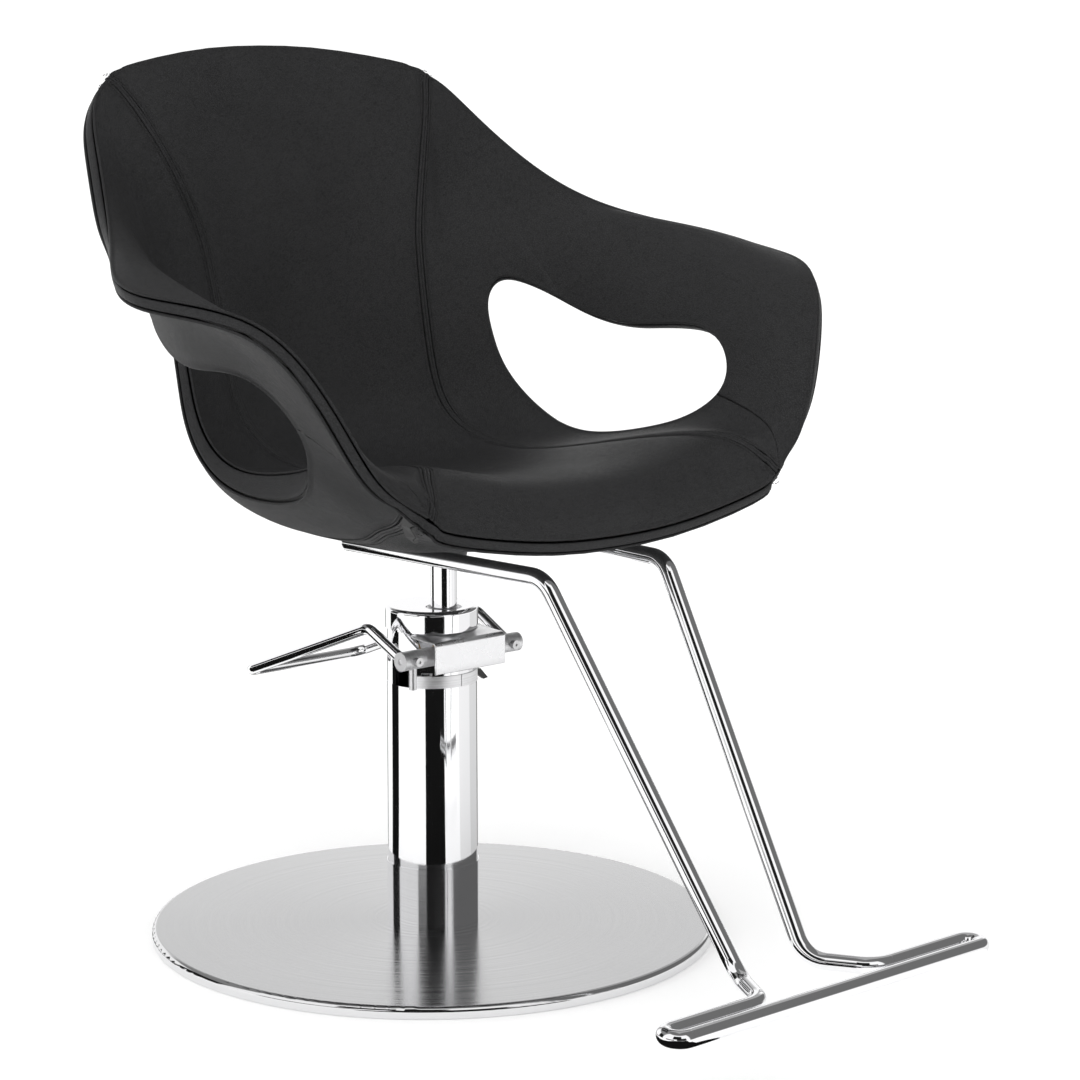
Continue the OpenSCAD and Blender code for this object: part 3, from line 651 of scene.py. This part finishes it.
def wing_grid(side):
    """Stations of a side panel, from its outline in to the arm opening. The outline starts
    where the seam leaves the rim."""
    a = beside_seam(side, SEAM_CLEAR)
    tenths = np.arange(0, 1, 0.1)
    first = int(np.argmax(a < COLS - 0.05))
    front, rim = [], [(k, COLS) for k in KS[first:]]
    if first == 0:
        front = [(0, a[0] + (COLS - a[0]) * f) for f in tenths]
    top = [(ROWS, COLS + (a[-1] - COLS) * f) for f in tenths[1:]]
    stop = max(first - 1, 0)
    seam = list(zip(KS[:stop:-1], a[:stop:-1]))
    loop = np.array(front + rim + top + seam, float)
    hole = beside_edge(loop, HOLE_CLEAR)
    return np.array([loop + (hole - loop) * f for f in ease(19, 0.6)])


pieces = []
for side, word, cad in ((1, "inner", "pad"), (-1, "outer", "back")):
    centre, wing = centre_grid(side), wing_grid(side)
    pieces.append((panel(f"{word}_cover_center", centre, side, False), [f"{cad}_center"]))
    pieces.append((panel(f"{word}_cover_right", wing, side, True), [f"{cad}_right"]))
    pieces.append((panel(f"{word}_cover_left", wing, side, True, True), [f"{cad}_left"]))
for obj, nodes in pieces:
    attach(obj, "seat")
    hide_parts(*nodes)

# Raised band between two grooves, round the rim and inside each arm opening: distance out from
# the edge, and place across the edge from the sitter's side (0) to the outer side (1).
BAND = [(0.2, 0.0), (1.1, 0.0), (1.9, 0.06), (2.35, 0.2), (2.5, 0.5), (2.35, 0.8), (1.9, 0.94),
        (1.1, 1.0), (0.2, 1.0)]
BAND_IN = 4.5
SEAT_MIDDLE = np.array([0, 0, 640.0])
TRIM_CLEAR = 3.2


def band_rings(points, up, out, thick):
    rings = []
    for p, u, o, t in zip(points, up, out, thick):
        width = t - 2 * BAND_IN
        rings.append([p + o * x - u * (BAND_IN + width * f) for x, f in BAND])
    return rings


def rim_stations():
    cross = np.linspace(-COLS, COLS, 61)[:-1]
    front = [(0, a) for a in cross]
    right = [(k, COLS) for k in KS[:-1]]
    back = [(ROWS, -a) for a in cross]
    left = [(k, -COLS) for k in KS[:0:-1]]
    return np.array(front + right + back + left, float)


stations = rim_stations()
edge_at = skin(stations[:, 0], stations[:, 1])[:, :3]
edge_up = inward(stations[:, 0], stations[:, 1])
edge_out = loop_frame(edge_at, SEAT_MIDDLE, edge_up)
rim_rings = band_rings(edge_at, edge_up, edge_out, [EDGE_THICK] * len(edge_at))
rim_band = sweep("rim_piping", rim_rings, LEATHER_BAND)
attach(rim_band, "seat")
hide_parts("rim_band")

turns = np.linspace(0, 2 * math.pi, 241)[:-1]
# 4 stations from the hub is past the opening's edge in every direction.
beyond = HUB + 4 * np.stack([np.cos(turns), np.sin(turns)], -1)
hole_at = beside_edge(beyond, TRIM_CLEAR)
wall = skin(hole_at[:, 0], hole_at[:, 1])
hole_up = inward(hole_at[:, 0], hole_at[:, 1])
hole_out = -loop_frame(wall[:, :3], skin(*HUB)[:3], hole_up)
trim_rings = band_rings(wall[:, :3], hole_up, hole_out, wall[:, 3])
for word, mirror in (("right", False), ("left", True)):
    trim = sweep(f"opening_piping_{word}", trim_rings, LEATHER_BAND, mirror=mirror)
    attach(trim, "seat")
    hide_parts(f"trim_{word}")

# Flat strip of two ridges over each seam: distance across, height above the panels.
STRIP = [(-STRIP_HALF, -2.6), (-STRIP_HALF, -1.6), (-3.1, -0.6), (-2.4, 0.2), (-1.6, 0.4),
         (-0.8, 0.2), (-0.3, -0.9), (0.3, -0.9), (0.8, 0.2), (1.6, 0.4), (2.4, 0.2),
         (3.1, -0.6), (STRIP_HALF, -1.6), (STRIP_HALF, -2.6)]
STITCH_OFF = 7.2
STITCH_PITCH, STITCH_LONG, STITCH_R, STITCH_SINK = 3.7, 2.7, 0.42, 0.25
STITCH_ENDS = 4.0
# A stitch from end to end: place along it, share of its full radius.
STITCH = [(-0.5, 0.35), (-0.36, 0.9), (0.0, 1.0), (0.36, 0.9), (0.5, 0.35)]
STITCH_SIDES = 6


def stitch_row(ks, side, offset):
    """Small stitches at an even pitch, a distance to one side of the seam."""
    p, up, along, across = seam_frame(ks, side)
    line = p + across * offset
    run = np.concatenate([[0], np.cumsum(np.linalg.norm(np.diff(line, axis=0), axis=1))])
    around = [(math.cos(q), math.sin(q))
              for q in (math.radians(360 / STITCH_SIDES * h) for h in range(STITCH_SIDES))]
    verts, faces = [], []

    def at_run(s, values):
        return np.array([np.interp(s, run, values[:, c]) for c in range(3)])

    for s in np.arange(STITCH_ENDS, run[-1] - STITCH_ENDS, STITCH_PITCH):
        at, d, u = at_run(s, line), unit(at_run(s, along)), unit(at_run(s, up))
        w = np.cross(d, u)
        first, last = len(verts), len(verts) + (len(STITCH) - 1) * STITCH_SIDES
        for x, r in STITCH:
            core = at + d * x * STITCH_LONG - u * STITCH_SINK
            verts += [core + (w * cos + u * sin) * r * STITCH_R for cos, sin in around]
        for one in range(first, last, STITCH_SIDES):
            for h in range(STITCH_SIDES):
                p0, p1 = one + h, one + (h + 1) % STITCH_SIDES
                faces.append((p0, p1, p1 + STITCH_SIDES, p0 + STITCH_SIDES))
        faces.append(tuple(first + h for h in range(STITCH_SIDES - 1, -1, -1)))
        faces.append(tuple(last + h for h in range(STITCH_SIDES)))
    return verts, faces


fine_ks = np.linspace(0.02, ROWS - 0.02, 420)
for side, word in ((1, "inner"), (-1, "outer")):
    p, up, _, across = seam_frame(fine_ks, side)
    rings = [[q + c * x + u * h for x, h in STRIP] for q, u, c in zip(p, up, across)]
    verts, faces = [], []
    for offset in (STITCH_OFF, -STITCH_OFF):
        row_verts, row_faces = stitch_row(fine_ks, side, offset)
        faces += [tuple(i + len(verts) for i in ids) for ids in row_faces]
        verts += row_verts
    for hand, mirror in (("right", False), ("left", True)):
        strip = sweep(f"{word}_seam_{hand}", rings, LEATHER_BAND, closed=False, mirror=mirror)
        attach(strip, "seat")
        stitch_verts = np.array(verts) * (MIRROR if mirror else 1)
        stitches = make_object(f"{word}_stitches_{hand}", stitch_verts, faces, THREAD)
        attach(stitches, "seat")

# ---------------------------------------------------------------- pump head hood
HOOD_X = (-48.0, 46.0)
HOOD_FRONT, HOOD_LOW, HOOD_TOP, HOOD_BACK = -65.0, 296.0, 329.0, 331.6
HOOD_SHEET, HOOD_BEND = 2.4, 4.5
# The hood ends against the neck's cylinder, and beside the neck goes back no further than this.
NECK_R, NECK_SIDE = 47.9, 24.0
# Round the sheet's edge: share of its thickness below the outside, distance out.
HOOD_ROUND = [(0.15, 0.6), (0.5, 0.8), (0.85, 0.6)]


def hood_line(x):
    """Section of the hood at x, from its lower front edge up and back to the neck: (y, z)."""
    neck_y = -math.sqrt(max(NECK_R ** 2 - x * x, NECK_SIDE ** 2))
    line = [(HOOD_FRONT, z) for z in (HOOD_LOW, 304, 312, 319)]
    for deg in range(180, 85, -15):
        q = math.radians(deg)
        line.append((HOOD_FRONT + HOOD_BEND + HOOD_BEND * math.cos(q),
                     HOOD_TOP - HOOD_BEND + HOOD_BEND * math.sin(q)))
    y0, z0 = line[-1]
    for f in (0.15, 0.3, 0.45, 0.6, 0.75, 0.88, 1.0):
        line.append((y0 + (neck_y - y0) * f, z0 + (HOOD_BACK - z0) * f ** 2))
    return line


def hood():
    """Bent sheet over the front of the pump head, rounded along its edges."""
    xs = HOOD_X[0] + (HOOD_X[1] - HOOD_X[0]) * ease(37, 0.5)
    outer = np.array([[(x, y, z) for y, z in hood_line(x)] for x in xs])
    m, n = outer.shape[:2]
    normal = unit(np.cross(np.gradient(outer, axis=0), np.gradient(outer, axis=1)))
    normal *= np.sign((normal * np.array([0, -1, 1])).sum(-1, keepdims=True))
    verts = list(outer.reshape(-1, 3)) + list((outer - normal * HOOD_SHEET).reshape(-1, 3))
    faces = two_sheets(m, n, wrap=False)
    ring, inner = grid_border(m, n)
    edge, ups = pick(outer, ring), pick(normal, ring)
    push = edge - pick(outer, inner)
    push = unit(push - ups * (push * ups).sum(-1, keepdims=True))
    roll_edge(verts, faces, m, n, ring,
              [edge + push * out - ups * depth * HOOD_SHEET for depth, out in HOOD_ROUND])
    return make_object("pump_hood", verts, faces, SATIN)


cover = hood()
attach(cover, "base")
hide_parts("head_cover")

# ---------------------------------------------------------------- studio
FLOOR_SIDE = 80
floor_paint = Material("floor")
floor_tone = floor_paint.noise(floor_paint.coords(), 3)
floor_paint.set(Base_Color=floor_paint.mix(floor_tone, grey(0.93), grey(0.95)), Roughness=0.7,
                Specular_IOR_Level=0.1, Emission_Color=grey(1.0), Emission_Strength=0.10)
bpy.ops.mesh.primitive_plane_add(size=1, location=(0, 0, 0))
floor = bpy.context.object
floor.name = "floor"
floor.scale = (FLOOR_SIDE, FLOOR_SIDE, 1)
floor.data.materials.append(floor_paint.mat)

# Angles in the studio are degrees from the camera's side, left negative.
VIEW_AZ = math.atan2(camera.location.y, camera.location.x)
CARD_NEAR, CARD_FAR, CARD_Z, CARD_STEPS = 0.33, 5.0, 0.0006, 12


def floor_card(name, tone, from_deg, to_deg):
    """Card lying on the floor, seen only in reflections."""
    card = Material(name)
    card.set(Base_Color=grey(tone), Roughness=1.0, Specular_IOR_Level=0.0)
    verts, faces = [], []
    for i in range(CARD_STEPS + 1):
        az = VIEW_AZ + math.radians(from_deg + (to_deg - from_deg) * i / CARD_STEPS)
        for r in (CARD_NEAR, CARD_FAR):
            verts.append((r * math.cos(az), r * math.sin(az), CARD_Z))
    for i in range(CARD_STEPS):
        faces.append((2 * i, 2 * i + 2, 2 * i + 3, 2 * i + 1))
    mesh = bpy.data.meshes.new(name)
    mesh.from_pydata(verts, [], faces)
    mesh.materials.append(card.mat)
    obj = bpy.data.objects.new(name, mesh)
    scene.collection.objects.link(obj)
    obj.visible_camera = False
    obj.visible_diffuse = False
    obj.visible_shadow = False
    obj.visible_transmission = False


floor_card("flag_front", 0.006, -17, 30)
floor_card("flag_left", 0.006, -121, -93)
floor_card("flag_right", 0.80, 70, 108)
floor_card("flag_far_right", 0.64, 108, 150)
floor_card("flag_edge_right", 0.22, 150, 168)
floor_card("flag_edge_left", 0.22, -168, -154)

# The sky is even white light. In reflections it is a studio of large dark cards with white
# gaps. Each row is tone, azimuth from and to, elevation from and to, softness of the edges.
CARDS = [(0.16, 50, 152, 3, 100, 6), (0.24, -166, -92, 26, 100, 6), (0.012, -38, 6, 15, 50, 3),
         (0.012, -72, -30, -8, 9, 3), (0.012, -17, 30, 0, 26, 2), (0.012, -121, -93, 0, 28, 2),
         (0.16, -180, 180, 62, 100, 6), (0.4, 150, 190, 22, 100, 8),
         (0.4, -190, -164, 22, 100, 8)]
SKY_LIGHT, SKY_GLOSS, SKY_SEEN = 0.85, 1.05, 1.1
DEGREES = 180 / math.pi
world = bpy.data.worlds.new("studio")
world.use_nodes = True
sky = Nodes(world.node_tree)
ray = sky.add("ShaderNodeSeparateXYZ", {0: sky.coords("Generated")}).outputs
turn = sky.math("SUBTRACT", sky.math("ARCTAN2", ray["Y"], ray["X"]), VIEW_AZ)
turn = sky.add("ShaderNodeMath", {0: turn, 1: math.pi, 2: -math.pi}, operation="WRAP").outputs[0]
turn = sky.math("MULTIPLY", turn, DEGREES)
rise = sky.math("MULTIPLY", sky.math("ARCSINE", ray["Z"]), DEGREES)


def within(value, low, high, soft):
    """1 between low and high, 0 outside, over a soft edge."""
    up = sky.spread(value, 0.0, 1.0, low - soft / 2, low + soft / 2)
    down = sky.spread(value, 1.0, 0.0, high - soft / 2, high + soft / 2)
    return sky.math("MULTIPLY", up, down)


tone = SKY_GLOSS
for value, left, right, low, high, soft in CARDS:
    part = sky.math("MULTIPLY", within(turn, left, right, soft), within(rise, low, high, soft))
    tone = sky.add("ShaderNodeMix", {0: part, 2: tone, 3: value}, data_type="FLOAT").outputs[0]
lamps = {}
for word, strength in (("light", SKY_LIGHT), ("gloss", tone), ("seen", SKY_SEEN)):
    lamps[word] = sky.add("ShaderNodeBackground", {0: grey(1), 1: strength}).outputs[0]
path = sky.add("ShaderNodeLightPath", {}).outputs
mixed = sky.add("ShaderNodeMixShader",
                {0: path["Is Glossy Ray"], 1: lamps["light"], 2: lamps["gloss"]}).outputs[0]
mixed = sky.add("ShaderNodeMixShader",
                {0: path["Is Camera Ray"], 1: mixed, 2: lamps["seen"]}).outputs[0]
sky.tree.links.new(mixed, sky.tree.nodes["World Output"].inputs[0])
scene.world = world

sun = bpy.data.lights.new("key", "SUN")
sun.energy = 1.5
sun.angle = math.radians(100)
key = bpy.data.objects.new("key", sun)
scene.collection.objects.link(key)
key.rotation_euler = (math.radians(38), 0, math.radians(-75))
key.visible_glossy = False
scene.view_settings.view_transform = "Standard"
scene.view_settings.look = "None"
